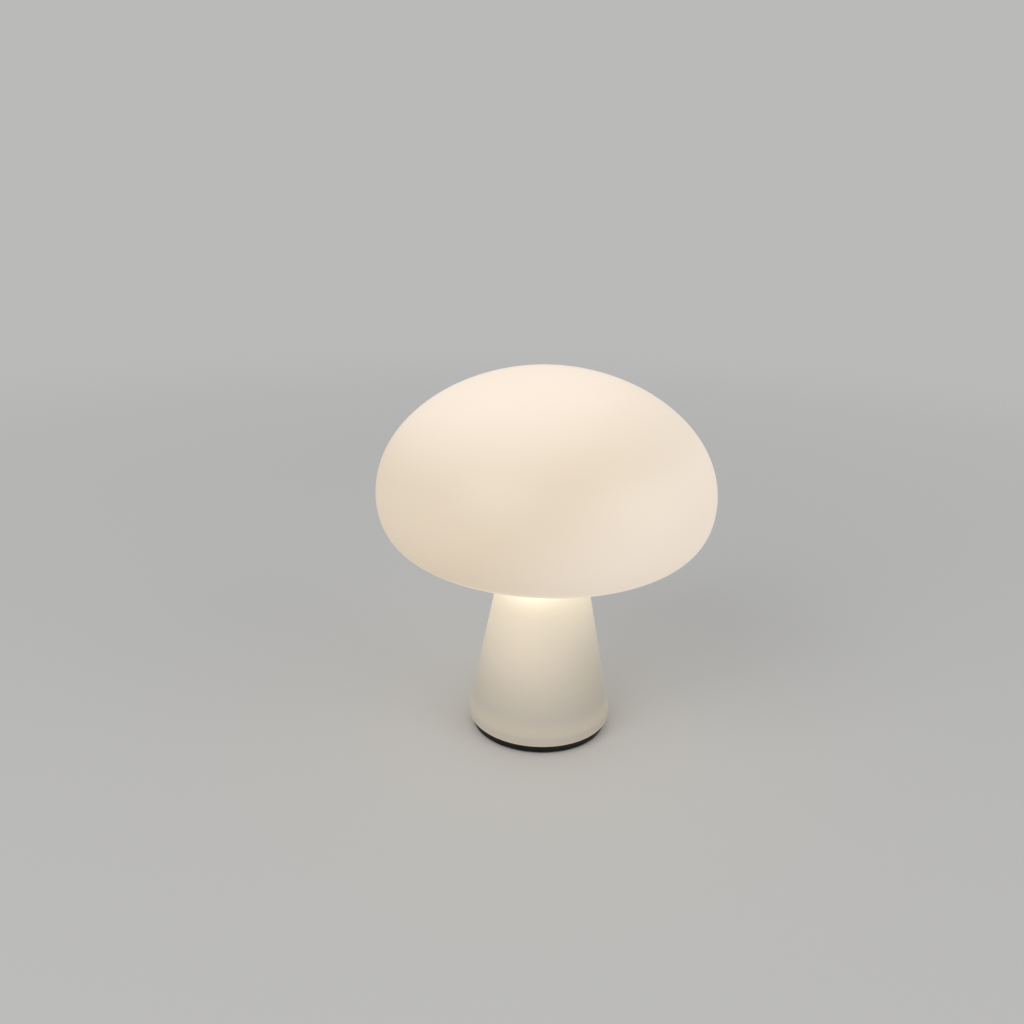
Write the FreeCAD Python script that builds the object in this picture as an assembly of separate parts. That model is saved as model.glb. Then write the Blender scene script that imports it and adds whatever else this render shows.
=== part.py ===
import FreeCAD, Part
import math
import os

from FreeCAD import Placement, Rotation, Vector

# A table lamp whose cap and stem are blown in one piece of opal glass. The glass stands on a low black
# base and hides a lampholder on a tube. All sizes are in millimetres. The origin is the centre of the
# footprint on the table, +Z is up, and the flex leaves the base at the back, towards +Y.

# Blown glass
CAP_RADIUS = 120.0
DOME_HEIGHT = 87.2
BELLY_DEPTH = 51.3
STEM_HEIGHT = 127.4
FOOT_RADIUS = 54.0
GLASS_WALL = 3.6
NECK_FILLET = 10.0
FOOT_ROUND = 4.5
LIP_REACH = 3.7
LIP_HEIGHT = 4.0
LIP_EDGE = 1.2
# Fullness of the blown curves, as shares of the radius, height or depth of the curve itself
CROWN_FLATNESS = 0.505
SHOULDER_FULLNESS = 0.566
BELLY_TURN = 0.632
BELLY_FLATNESS = 0.718

# Base
FOOT_RING_HEIGHT = 1.2
FOOT_RING_WIDTH = 12.0
FOOT_RING_INSET = 3.0
COVER_THICKNESS = 1.0
BASE_HEIGHT = 4.9
BASE_INSET = 4.5
SKIRT_LIFT = 0.9
SHEET = 1.2
BEND_RADIUS = 1.0
DECK_BEND_RADIUS = 2.0
SEAT_THICKNESS = 0.6
SEAT_WIDTH = 4.2
BALLAST_BORE = 17.0
CHANNEL_MARGIN = 1.5

# Leaf springs that hold the glass by its foot
CLIP_SPACE = 2.5
CLIP_SHEET = 0.5
CLIP_WIDTH = 10.0
CLIP_TAB = 14.5
CLIP_BEND = 1.7
CLIP_LEG_GAP = 0.45
CLIP_NIP_RADIUS = 1.5
CLIP_TOE = 0.9
CLIP_ANGLES = {"front": -90.0, "right": 30.0, "left": 150.0}
COVER_SCREW_ANGLES = (60.0, 120.0, 240.0, 300.0)

# Screws: thread radius, head radius and head height
CLIP_SCREW = (2.0, 3.8, 2.2)
CLIP_SCREW_LENGTH = 9.0
CLIP_SCREW_INSET = 7.5
COVER_SCREW = (1.5, 2.6, 0.8)
COVER_SCREW_LENGTH = 7.0
COVER_SCREW_INSET = 3.8
BLOCK_SCREW = (1.25, 2.3, 1.6)
GRIP_SCREW = (1.5, 2.8, 1.6)
TERMINAL_SCREW = (1.3, 2.2, 1.2)
SLOT_WIDTH = 0.7
SLOT_SHARE = 0.45
SCREW_END_INSET = 0.3

# Outlet for the flat flex, and the clamp that takes the pull off it
FLEX_WIDTH = 5.2
FLEX_THICKNESS = 2.7
FLEX_ROOM = 0.3
BUSH_WALL = 0.7
BUSH_FLANGE = 0.8
GRIP_LENGTH = 20.0
GRIP_DEPTH = 7.0
GRIP_BRIDGE_THICKNESS = 2.0
GRIP_BODY_HEIGHT = 4.8
GRIP_SCREW_OFFSET = 7.5
GRIP_SPACING = 2.5

# Terminal block in the base
BLOCK_WIDTH = 16.0
BLOCK_DEPTH = 14.0
BLOCK_HEIGHT = 9.0
BLOCK_CLEARANCE = 2.6
BLOCK_FRONT = 13.0
INSERT_OFFSET = 4.0
INSERT_DROP = 5.5
INSERT_RADIUS = 2.4
INSERT_BORE = 1.5
INSERT_SCREW_RADIUS = 1.25
INSERT_SCREW_INSET = 3.5

# Threaded tube, its nuts and washers
TUBE_RADIUS = 5.0
TUBE_BORE = 4.0
TUBE_PROUD = 0.6
NUT_ACROSS_FLATS = 14.0
NUT_HEIGHT = 3.2
NUT_CHAMFER = 0.6
WASHER_RADIUS = 9.0
WASHER_THICKNESS = 0.8
WASHER_TEETH = 12
TOOTH_DEPTH = 1.4

# Bulb with a screw cap of 14 mm, and its place in the glass
BULB_ABOVE_NECK = 9.6
BULB_RADIUS = 22.5
BULB_LENGTH = 78.0
BULB_PASSAGE = 3.8
GLOBE_WALL = 1.2
GLOBE_RIM_RADIUS = 19.5
COLLAR_WALL = 1.4
COLLAR_FOOT_RADIUS = 8.8
COLLAR_RISE_SHARE = 0.35
COLLAR_FLARE_SHARE = 0.1
COLLAR_BELL_SHARE = 0.5
COLLAR_LEDGE = 3.6
COLLAR_LEDGE_THICKNESS = 1.0
COLLAR_SPIGOT = 4.0
SPIGOT_SHEET = 0.6
THREAD_RADIUS = 6.545
THREAD_DEPTH = 0.8
THREAD_PITCH = 2.822
THREAD_CLEARANCE = 0.2
THREAD_SECTIONS = 8
CAP_BORE = 5.6
CAP_SKIRT_RADIUS = 7.2
CAP_SKIRT_HEIGHT = 3.0
CAP_THREAD_LENGTH = 12.0
CAP_THREAD_START = 5.0
CONTACT_RADIUS = 3.4
CONTACT_HEIGHT = 1.6
CONTACT_STEM_RADIUS = 1.5
CONTACT_STEM_LENGTH = 2.2
INSULATOR_SPIGOT = 2.0
LED_BOARD_THICKNESS = 1.6
LED_RING_RADIUS = 11.5
LED_COUNT = 8
LED_SIZE = 2.8
LED_HEIGHT = 0.8
DRIVER_THICKNESS = 1.2
DRIVER_WIDTH = 14.0
DRIVER_TONGUE_WIDTH = 8.2
DRIVER_TONGUE_REACH = 10.0
CAPACITOR_RADIUS = 2.8
CAPACITOR_LENGTH = 10.0
CAPACITOR_HEIGHT = 7.0

# Lampholder
HOLDER_RADIUS = 12.3
HOLDER_WALL = 1.4
HOLDER_RIM_RADIUS = 11.4
HOLDER_RIM_SLOPE = 2.5
HOLDER_MOUTH_RADIUS = 9.8
HOLDER_NECK_RADIUS = 8.0
HOLDER_CAP_HEIGHT = 26.0
HOLDER_NECK_HEIGHT = 8.0
HOLDER_STOP = 1.6
HOLDER_FLARE = 6.5
SPIGOT_HEIGHT = 8.0
SPIGOT_WALL = 1.2
SLEEVE_ABOVE_CONTACT = 18.5
CARRIER_HEIGHT = 6.5
SPRING_HEIGHT = 2.5
SPRING_SHEET = 0.5
SPRING_WIDTH = 5.0
SPRING_HALF_LENGTH = 4.8
SPRING_CREST = 1.6
SPRING_SLOPE = 1.4
SHELL_SHEET = 0.45
SHELL_HEIGHT = 17.5
SHELL_FLANGE_THICKNESS = 0.6
SHELL_FLANGE_INNER = 5.9
SHELL_FLANGE_OUTER = 8.8
TERMINAL_WIDTH = 5.4
TERMINAL_DEPTH = 8.0
TERMINAL_HEIGHT = 7.0
TERMINAL_OFFSET = 5.2
TERMINAL_POST_RADIUS = 1.5
LIVE_POST_OFFSET = 3.4
NEUTRAL_POST_OFFSET = 6.6
TERMINAL_SCREW_DROP = 4.0
GRUB_SCREW_RADIUS = 1.5
GRUB_SCREW_HEIGHT = 4.5

# Internal leads
LEAD_RADIUS = 0.9
LEAD_SPACING = 1.6
LEAD_BEND_SHARE = 0.45
LEAD_DIP = 4.0
LEAD_RISE = 3.3
LEAD_TURN = 5.6
LEAD_ABOVE_STOP = 0.8
WIRE_GRIP = 4.0

# Clearances
FIT_GAP = 0.05
RUNNING_GAP = 0.3
SCREW_HOLE_GAP = 0.1

# Heights above the table
cover_top = FOOT_RING_HEIGHT + COVER_THICKNESS
flange_under = BASE_HEIGHT - SHEET
glass_foot = BASE_HEIGHT + SEAT_THICKNESS
deck_under = cover_top + BLOCK_HEIGHT + BLOCK_CLEARANCE
deck_top = deck_under + SHEET
neck_corner = glass_foot + STEM_HEIGHT
equator = neck_corner + BELLY_DEPTH
crown = equator + DOME_HEIGHT
globe_centre = neck_corner + BULB_ABOVE_NECK
bulb_foot = globe_centre + BULB_RADIUS - BULB_LENGTH
carrier_top = bulb_foot - SPRING_HEIGHT
carrier_under = carrier_top - CARRIER_HEIGHT
holder_foot = carrier_under - HOLDER_CAP_HEIGHT
tube_foot = deck_under - WASHER_THICKNESS - NUT_HEIGHT - TUBE_PROUD
tube_top = holder_foot + HOLDER_NECK_HEIGHT
collar_foot = bulb_foot + CAP_THREAD_START + CAP_THREAD_LENGTH + CAP_SKIRT_HEIGHT
collar_top = globe_centre - math.sqrt(BULB_RADIUS ** 2 - GLOBE_RIM_RADIUS ** 2)
ledge_top = collar_top - LED_BOARD_THICKNESS - LED_HEIGHT - RUNNING_GAP

# Radii and slopes that several pieces share
neck_radius = BULB_RADIUS + BULB_PASSAGE + GLASS_WALL
stem_slope = math.atan2(FOOT_RADIUS - neck_radius, STEM_HEIGHT)
wall_run = GLASS_WALL / math.cos(stem_slope)


def stem_radius(height):
    """Outer radius of the glass stem's cone at a height above the table."""
    return FOOT_RADIUS - (height - glass_foot) * math.tan(stem_slope)


neck_arc_height = neck_corner - NECK_FILLET
neck_arc_radius = stem_radius(neck_arc_height) + NECK_FILLET / math.cos(stem_slope)
lip_radius = stem_radius(glass_foot + LIP_HEIGHT) - wall_run - LIP_REACH
base_radius = FOOT_RADIUS - BASE_INSET
skirt_inner = base_radius - SHEET
riser_radius = lip_radius - CLIP_SPACE
riser_inner = riser_radius - SHEET
cover_radius = skirt_inner - RUNNING_GAP
ballast_radius = riser_inner - RUNNING_GAP
clip_screw_circle = riser_radius - CLIP_SCREW_INSET
foot_ring_outer = cover_radius - FOOT_RING_INSET
foot_ring_inner = foot_ring_outer - FOOT_RING_WIDTH
cover_screw_circle = foot_ring_inner - COVER_SCREW_INSET
grip_front = BLOCK_FRONT + BLOCK_DEPTH + GRIP_SPACING
grip_middle = grip_front + GRIP_DEPTH / 2
insert_height = deck_under - INSERT_DROP
flex_slot = FLEX_WIDTH + 2 * FLEX_ROOM
notch_width = flex_slot + 2 * BUSH_WALL


def point(radius, height):
    """A point of a turned outline, in the XZ plane."""
    return Vector(radius, 0, height)


def line(start, end):
    return Part.makeLine(start, end)


def arc(centre, radius, start_angle, end_angle):
    """An arc in the XZ plane, with its angles counted from +X towards +Z, in radians."""
    stations = (start_angle, (start_angle + end_angle) / 2, end_angle)
    on_arc = [centre + point(radius * math.cos(a), radius * math.sin(a)) for a in stations]
    return Part.Arc(*on_arc).toShape()


def bezier(*poles):
    curve = Part.BezierCurve()
    curve.setPoles(list(poles))
    return curve.toShape()


def turned(edges):
    """The solid that a closed outline in the XZ plane sweeps in a full turn about Z."""
    face = Part.Face(Part.Wire(edges))
    return solid(face.revolve(Vector(0, 0, 0), Vector(0, 0, 1), 360))


def solid(shape):
    """The one solid in a shape, turned the right way out."""
    if len(shape.Solids) > 1:
        raise ValueError("a piece has come apart")
    found = shape.Solids[0] if shape.Solids else Part.Solid(shape)
    if found.Volume < 0:
        found.reverse()
    return found


def bent_edges(corners, radii, closed):
    """Straight edges through the corners, joined by tangent arcs of the given radii."""
    count = len(corners)
    edges = []
    starts = []
    ends = []
    for i, corner in enumerate(corners):
        if radii[i] == 0:
            starts.append(corner)
            ends.append(corner)
            edges.append(None)
            continue
        back = (corners[i - 1] - corner).normalize()
        ahead = (corners[(i + 1) % count] - corner).normalize()
        half = math.acos(max(-1.0, min(1.0, back.dot(ahead)))) / 2
        reach = radii[i] / math.tan(half)
        centre = corner + (back + ahead).normalize() * (radii[i] / math.sin(half))
        start = corner + back * reach
        end = corner + ahead * reach
        middle = centre + (corner - centre).normalize() * radii[i]
        starts.append(start)
        ends.append(end)
        edges.append(Part.Arc(start, middle, end).toShape())
    path = []
    for i in range(count):
        if edges[i] is not None:
            path.append(edges[i])
        if i + 1 < count or closed:
            path.append(line(ends[i], starts[(i + 1) % count]))
    return path


def bent_strip(corners, radii, width, sheet):
    """Flat strip bent along a path in the XZ plane that starts off along +X."""
    start = corners[0]
    path = Part.Wire(bent_edges(corners, radii, False))
    ways = ((-1, -1), (1, -1), (1, 1), (-1, 1), (-1, -1))
    section = Part.makePolygon([start + Vector(0, a * width / 2, b * sheet / 2) for a, b in ways])
    return solid(path.makePipeShell([section], True, False))


def turned_outline(corners):
    """A turned solid from corners given as radius, height and rounding."""
    places = [point(radius, height) for radius, height, rounding in corners]
    return turned(bent_edges(places, [rounding for radius, height, rounding in corners], True))


def ring(outer, inner, low, high):
    """A plain ring or, with no inner radius, a disc."""
    body = Part.makeCylinder(outer, high - low, Vector(0, 0, low))
    if inner > 0:
        body = body.cut(Part.makeCylinder(inner, high - low, Vector(0, 0, low)))
    return solid(body)


def rod(radius, start, end):
    """A round bar between two points."""
    return Part.makeCylinder(radius, (end - start).Length, start, end - start)


def box(low, high):
    size = high - low
    return Part.makeBox(size.x, size.y, size.z, low)


def around(shape, angle):
    """A copy of a shape, turned about the lamp's axis."""
    copy = shape.copy()
    copy.rotate(Vector(0, 0, 0), Vector(0, 0, 1), angle)
    return copy


def on_circle(radius, angle, height=0.0):
    turn = math.radians(angle)
    return Vector(radius * math.cos(turn), radius * math.sin(turn), height)


def screw(kind, length, seat, direction):
    """A slotted screw whose head stands on the seat and whose thread runs along the direction."""
    thread_radius, head_radius, head_height = kind
    slot_depth = head_height * SLOT_SHARE
    body = turned_outline([
        (0, -head_height, 0), (head_radius, -head_height, slot_depth), (head_radius, 0, 0),
        (thread_radius, 0, 0), (thread_radius, length, 0), (0, length, 0),
    ])
    slot = box(
        Vector(-head_radius, -SLOT_WIDTH / 2, -head_height),
        Vector(head_radius, SLOT_WIDTH / 2, slot_depth - head_height),
    )
    body = solid(body.cut(slot))
    body.Placement = Placement(seat, Rotation(Vector(0, 0, 1), direction))
    return body


def hex_nut(low, high):
    """A nut on the tube, with its corners turned off at both ends."""
    corner = NUT_ACROSS_FLATS / 2 / math.cos(math.radians(30))
    places = [on_circle(corner, 60 * i, low) for i in range(7)]
    body = Part.Face(Part.makePolygon(places)).extrude(Vector(0, 0, high - low))
    flat = NUT_ACROSS_FLATS / 2
    turning = turned_outline([
        (TUBE_RADIUS + FIT_GAP, low, 0), (flat, low, 0), (corner, low + NUT_CHAMFER, 0),
        (corner, high - NUT_CHAMFER, 0), (flat, high, 0), (TUBE_RADIUS + FIT_GAP, high, 0),
    ])
    return solid(body.common(turning))


def helical_thread(radius, low, high):
    """A screw thread: a circle carried up in straight steps, with its centre going round once a pitch."""
    offset = THREAD_DEPTH / 2
    count = round((high - low) / THREAD_PITCH * THREAD_SECTIONS)
    sections = []
    for i in range(count + 1):
        height = low + (high - low) * i / count
        turn = math.degrees(2 * math.pi * height / THREAD_PITCH)
        centre = on_circle(offset, turn, height)
        sections.append(Part.Wire([Part.makeCircle(radius, centre)]))
    return solid(Part.makeLoft(sections, True, True))


def cap_edges(radius, top, low):
    """Dome and belly of the cap, from the axis to the corner above the stem."""
    rise = top - equator
    drop = equator - low
    run = radius - neck_arc_radius
    dome = bezier(
        point(0, top), point(CROWN_FLATNESS * radius, top),
        point(radius, equator + SHOULDER_FULLNESS * rise), point(radius, equator),
    )
    belly = bezier(
        point(radius, equator), point(radius, equator - BELLY_TURN * drop),
        point(neck_arc_radius + BELLY_FLATNESS * run, low), point(neck_arc_radius, low),
    )
    return [dome, belly]


def glass_body():
    slope_out = point(math.cos(stem_slope), math.sin(stem_slope))
    level = math.pi + stem_slope
    neck_centre = point(neck_arc_radius, neck_arc_height)
    lip_top = glass_foot + LIP_HEIGHT
    foot_arc_height = glass_foot + FOOT_ROUND
    foot_arc_radius = stem_radius(foot_arc_height) - FOOT_ROUND / math.cos(stem_slope)
    foot_centre = point(foot_arc_radius, foot_arc_height)
    ledge_round = (LIP_REACH - LIP_EDGE) / (1 / math.cos(stem_slope) + math.tan(stem_slope))
    ledge_centre = point(lip_radius + LIP_EDGE, lip_top + ledge_round)
    inner_neck_radius = NECK_FILLET + GLASS_WALL

    outer_dome, outer_belly = cap_edges(CAP_RADIUS, crown, neck_corner)
    outer_neck = arc(neck_centre, NECK_FILLET, math.pi / 2, level)
    outer_stem_top = neck_centre - slope_out * NECK_FILLET
    outer_stem_foot = foot_centre + slope_out * FOOT_ROUND
    foot = arc(foot_centre, FOOT_ROUND, stem_slope, -math.pi / 2)
    ground_edge = line(point(foot_arc_radius, glass_foot), point(lip_radius, glass_foot))
    bore = line(point(lip_radius, glass_foot), point(lip_radius, lip_top - LIP_EDGE))
    lip_edge = arc(point(lip_radius + LIP_EDGE, lip_top - LIP_EDGE), LIP_EDGE, math.pi, math.pi / 2)
    ledge = arc(ledge_centre, ledge_round, -math.pi / 2, stem_slope)
    inner_stem_foot = ledge_centre + slope_out * ledge_round
    inner_stem_top = neck_centre - slope_out * inner_neck_radius
    inner_neck = arc(neck_centre, inner_neck_radius, level, math.pi / 2)
    inner_crown = crown - GLASS_WALL
    inner_dome, inner_belly = cap_edges(CAP_RADIUS - GLASS_WALL, inner_crown, neck_corner + GLASS_WALL)
    return turned([
        outer_dome, outer_belly, outer_neck, line(outer_stem_top, outer_stem_foot),
        foot, ground_edge, bore, lip_edge, ledge, line(inner_stem_foot, inner_stem_top),
        inner_neck, inner_belly, inner_dome, line(point(0, inner_crown), point(0, crown)),
    ])


def seat_ring():
    inner = riser_radius + RUNNING_GAP
    outer = base_radius - RUNNING_GAP
    return ring(outer, outer - SEAT_WIDTH, BASE_HEIGHT, glass_foot)


def base_shell():
    hole = TUBE_RADIUS + SCREW_HOLE_GAP
    outer_bend = BEND_RADIUS + SHEET
    body = turned_outline([
        (base_radius, SKIRT_LIFT, 0), (base_radius, BASE_HEIGHT, BEND_RADIUS),
        (riser_radius, BASE_HEIGHT, BEND_RADIUS), (riser_radius, deck_top, DECK_BEND_RADIUS),
        (hole, deck_top, 0), (hole, deck_under, 0),
        (riser_inner, deck_under, DECK_BEND_RADIUS - SHEET), (riser_inner, flange_under, outer_bend),
        (skirt_inner, flange_under, 0), (skirt_inner, SKIRT_LIFT, 0),
    ])
    half = notch_width / 2
    cuts = [box(Vector(-half, riser_radius, 0), Vector(half, FOOT_RADIUS, flange_under))]
    for angle in CLIP_ANGLES.values():
        cuts.append(through_deck(on_circle(clip_screw_circle, angle), CLIP_SCREW[0]))
    cuts.append(through_deck(Vector(0, BLOCK_FRONT + BLOCK_DEPTH / 2, 0), BLOCK_SCREW[0]))
    for side in (-1, 1):
        cuts.append(through_deck(Vector(side * GRIP_SCREW_OFFSET, grip_middle, 0), GRIP_SCREW[0]))
    return solid(body.cut(cuts))


def through_deck(place, thread_radius):
    low = Vector(place.x, place.y, deck_under - SHEET)
    high = Vector(place.x, place.y, deck_top + SHEET)
    return rod(thread_radius + SCREW_HOLE_GAP, low, high)


def ballast():
    """A cast ring with a channel at the back for the terminal block, the clamp and the flex."""
    body = turned_outline([
        (BALLAST_BORE, cover_top, 0), (ballast_radius, cover_top, BEND_RADIUS),
        (ballast_radius, deck_under, DECK_BEND_RADIUS), (BALLAST_BORE, deck_under, BEND_RADIUS),
    ])
    half = GRIP_LENGTH / 2 + CHANNEL_MARGIN
    cuts = [box(Vector(-half, 0, cover_top), Vector(half, riser_radius, deck_under))]
    for angle in CLIP_ANGLES.values():
        place = on_circle(clip_screw_circle, angle, deck_under)
        cuts.append(rod(CLIP_SCREW[0] + FIT_GAP, place, place - Vector(0, 0, CLIP_SCREW_LENGTH)))
    for angle in COVER_SCREW_ANGLES:
        place = on_circle(cover_screw_circle, angle, cover_top)
        cuts.append(rod(COVER_SCREW[0] + FIT_GAP, place, place + Vector(0, 0, COVER_SCREW_LENGTH)))
    return solid(body.cut(cuts))


def bottom_cover():
    body = ring(cover_radius, 0, FOOT_RING_HEIGHT, cover_top)
    half = notch_width / 2
    cuts = [box(Vector(-half, grip_front + GRIP_DEPTH, 0), Vector(half, FOOT_RADIUS, cover_top))]
    for angle in COVER_SCREW_ANGLES:
        place = on_circle(cover_screw_circle, angle, FOOT_RING_HEIGHT)
        cuts.append(rod(COVER_SCREW[0] + SCREW_HOLE_GAP, place, place + Vector(0, 0, COVER_THICKNESS)))
    return solid(body.cut(cuts))


def foot_ring():
    body = ring(foot_ring_outer, foot_ring_inner, 0, FOOT_RING_HEIGHT)
    half = notch_width / 2
    gap = box(Vector(-half, 0, 0), Vector(half, FOOT_RADIUS, FOOT_RING_HEIGHT))
    return solid(body.cut(gap))


def cover_screws():
    length = COVER_THICKNESS + COVER_SCREW_LENGTH - SCREW_END_INSET
    seats = [on_circle(cover_screw_circle, angle, FOOT_RING_HEIGHT) for angle in COVER_SCREW_ANGLES]
    return [screw(COVER_SCREW, length, seat, Vector(0, 0, 1)) for seat in seats]


def glass_clip(angle):
    """A leaf spring: a tab on the deck, a leg down beside it, and a nip that bears on the glass lip."""
    middle = deck_top + CLIP_SHEET / 2
    leg = riser_radius + CLIP_LEG_GAP + CLIP_SHEET / 2
    nip_face = math.sqrt((lip_radius - RUNNING_GAP) ** 2 - (CLIP_WIDTH / 2) ** 2)
    nip_height = glass_foot + LIP_HEIGHT / 2
    toe_height = glass_foot + CLIP_TOE
    tab_start = riser_radius - CLIP_TAB
    corners = [
        point(tab_start, middle), point(leg, middle),
        point(nip_face - CLIP_SHEET / 2, nip_height), point(leg, toe_height),
    ]
    strip = bent_strip(corners, [0, CLIP_BEND, CLIP_NIP_RADIUS, 0], CLIP_WIDTH, CLIP_SHEET)
    hole = through_deck(Vector(clip_screw_circle, 0, 0), CLIP_SCREW[0])
    return around(solid(strip.cut(hole)), angle)


def clip_screws():
    length = CLIP_SHEET + SHEET + CLIP_SCREW_LENGTH - SCREW_END_INSET
    height = deck_top + CLIP_SHEET
    seats = [on_circle(clip_screw_circle, angle, height) for angle in CLIP_ANGLES.values()]
    return [screw(CLIP_SCREW, length, seat, Vector(0, 0, -1)) for seat in seats]


def outlet_bush():
    """A rubber saddle in the notch of the skirt, with a flange outside."""
    top = flange_under - FIT_GAP
    half = notch_width / 2 - FIT_GAP
    front = skirt_inner - BUSH_WALL
    outside = base_radius + FIT_GAP
    body = box(Vector(-half, front, SKIRT_LIFT), Vector(half, outside + BUSH_WALL, top))
    flange = box(
        Vector(-half - BUSH_FLANGE, outside, SKIRT_LIFT),
        Vector(half + BUSH_FLANGE, outside + BUSH_WALL, top + BUSH_FLANGE),
    )
    slot = box(Vector(-flex_slot / 2, 0, 0), Vector(flex_slot / 2, FOOT_RADIUS, top - BUSH_WALL))
    return solid(body.fuse(flange).removeSplitter().cut(slot))


def grip_bar(low, high):
    """A bar of the clamp between two heights, with its two screw holes."""
    half = GRIP_LENGTH / 2
    body = box(Vector(-half, grip_front, low), Vector(half, grip_front + GRIP_DEPTH, high))
    places = [Vector(side * GRIP_SCREW_OFFSET, grip_middle, 0) for side in (-1, 1)]
    radius = GRIP_SCREW[0] + SCREW_HOLE_GAP
    return solid(body.cut([rod(radius, p + Vector(0, 0, low), p + Vector(0, 0, high)) for p in places]))


def cord_grip_body():
    return grip_bar(deck_under - GRIP_BODY_HEIGHT, deck_under)


def grip_levels():
    """Lower and upper face of the bridge that presses the flex against the body."""
    high = deck_under - GRIP_BODY_HEIGHT - FLEX_THICKNESS + RUNNING_GAP
    return high - GRIP_BRIDGE_THICKNESS, high


def cord_grip_bridge():
    low, high = grip_levels()
    return grip_bar(low, high)


def cord_grip_screws():
    low, high = grip_levels()
    length = deck_top - SCREW_END_INSET - low
    seats = [Vector(side * GRIP_SCREW_OFFSET, grip_middle, low) for side in (-1, 1)]
    return [screw(GRIP_SCREW, length, seat, Vector(0, 0, 1)) for seat in seats]


def insert_screw_places():
    ends = (BLOCK_FRONT + INSERT_SCREW_INSET, BLOCK_FRONT + BLOCK_DEPTH - INSERT_SCREW_INSET)
    return [Vector(side * INSERT_OFFSET, y, 0) for side in (-1, 1) for y in ends]


def terminal_block():
    low = deck_under - BLOCK_HEIGHT
    back = BLOCK_FRONT + BLOCK_DEPTH
    body = box(Vector(-BLOCK_WIDTH / 2, BLOCK_FRONT, low), Vector(BLOCK_WIDTH / 2, back, deck_under))
    cuts = []
    for side in (-1, 1):
        start = Vector(side * INSERT_OFFSET, BLOCK_FRONT, insert_height)
        cuts.append(rod(INSERT_RADIUS + FIT_GAP, start, start + Vector(0, BLOCK_DEPTH, 0)))
    for place in insert_screw_places():
        shaft_radius = INSERT_SCREW_RADIUS + RUNNING_GAP
        cuts.append(rod(shaft_radius, place + Vector(0, 0, low), place + Vector(0, 0, insert_height)))
    middle = Vector(0, BLOCK_FRONT + BLOCK_DEPTH / 2, low)
    cuts.append(rod(BLOCK_SCREW[0] + SCREW_HOLE_GAP, middle, middle + Vector(0, 0, BLOCK_HEIGHT)))
    return solid(body.cut(cuts))


def terminal_inserts():
    inserts = []
    for side in (-1, 1):
        start = Vector(side * INSERT_OFFSET, BLOCK_FRONT + FIT_GAP, insert_height)
        end = start + Vector(0, BLOCK_DEPTH - 2 * FIT_GAP, 0)
        cuts = [rod(INSERT_BORE, start, end)]
        for place in insert_screw_places():
            low = place + Vector(0, 0, insert_height - INSERT_RADIUS)
            cuts.append(rod(INSERT_SCREW_RADIUS + FIT_GAP, low, place + Vector(0, 0, insert_height)))
        inserts.append(solid(rod(INSERT_RADIUS, start, end).cut(cuts)))
    return inserts


def terminal_screws():
    low = deck_under - BLOCK_HEIGHT + RUNNING_GAP
    tip = insert_height - LEAD_RADIUS - FIT_GAP
    screws = []
    for place in insert_screw_places():
        body = rod(INSERT_SCREW_RADIUS, place + Vector(0, 0, low), place + Vector(0, 0, tip))
        reach = Vector(INSERT_SCREW_RADIUS, SLOT_WIDTH / 2, 0)
        slot = box(place - reach + Vector(0, 0, low), place + reach + Vector(0, 0, low + SLOT_WIDTH))
        screws.append(solid(body.cut(slot)))
    return screws


def terminal_block_screw():
    low = deck_under - BLOCK_HEIGHT
    seat = Vector(0, BLOCK_FRONT + BLOCK_DEPTH / 2, low)
    return screw(BLOCK_SCREW, deck_top - SCREW_END_INSET - low, seat, Vector(0, 0, 1))


def stem_tube():
    return ring(TUBE_RADIUS, TUBE_BORE, tube_foot, tube_top)


def plain_washer(low):
    return ring(WASHER_RADIUS, TUBE_RADIUS + FIT_GAP, low, low + WASHER_THICKNESS)


def toothed_washer(low):
    body = plain_washer(low)
    gap_radius = math.pi * WASHER_RADIUS / WASHER_TEETH / 2
    cuts = []
    for i in range(WASHER_TEETH):
        place = on_circle(WASHER_RADIUS - TOOTH_DEPTH + gap_radius, 360 * i / WASHER_TEETH, low)
        cuts.append(rod(gap_radius, place, place + Vector(0, 0, WASHER_THICKNESS)))
    return solid(body.cut(cuts))


def holder_cap():
    """Lower half of the lampholder: a neck on the tube, a flare and a spigot for the sleeve."""
    neck_top = tube_top
    flare_top = neck_top + HOLDER_FLARE
    shoulder = carrier_under - SPIGOT_HEIGHT
    spigot_outer = HOLDER_RADIUS - HOLDER_WALL
    spigot_inner = spigot_outer - SPIGOT_WALL
    floor = neck_top + HOLDER_STOP
    entry = TUBE_RADIUS + FIT_GAP
    body = turned_outline([
        (HOLDER_NECK_RADIUS, holder_foot, 0), (HOLDER_NECK_RADIUS, neck_top, BEND_RADIUS),
        (HOLDER_RADIUS, flare_top, DECK_BEND_RADIUS), (HOLDER_RADIUS, shoulder, 0),
        (spigot_outer, shoulder, 0), (spigot_outer, carrier_under, 0),
        (spigot_inner, carrier_under, 0), (spigot_inner, flare_top + HOLDER_WALL / 2, BEND_RADIUS),
        (HOLDER_NECK_RADIUS - HOLDER_STOP, floor, 0), (TUBE_BORE + FIT_GAP, floor, 0),
        (TUBE_BORE + FIT_GAP, tube_top, 0), (entry, tube_top, 0), (entry, holder_foot, 0),
    ])
    grub = Vector(0, 0, holder_foot + GRUB_SCREW_HEIGHT)
    return solid(body.cut(rod(GRUB_SCREW_RADIUS + FIT_GAP, grub, grub + Vector(0, HOLDER_RADIUS, 0))))


def holder_grub_screw():
    height = holder_foot + GRUB_SCREW_HEIGHT
    tip = TUBE_RADIUS + FIT_GAP
    end = HOLDER_NECK_RADIUS
    body = rod(GRUB_SCREW_RADIUS, Vector(0, tip, height), Vector(0, end, height))
    slot = box(
        Vector(-GRUB_SCREW_RADIUS, end - SLOT_WIDTH, height - SLOT_WIDTH / 2),
        Vector(GRUB_SCREW_RADIUS, end, height + SLOT_WIDTH / 2),
    )
    return solid(body.cut(slot))


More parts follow.
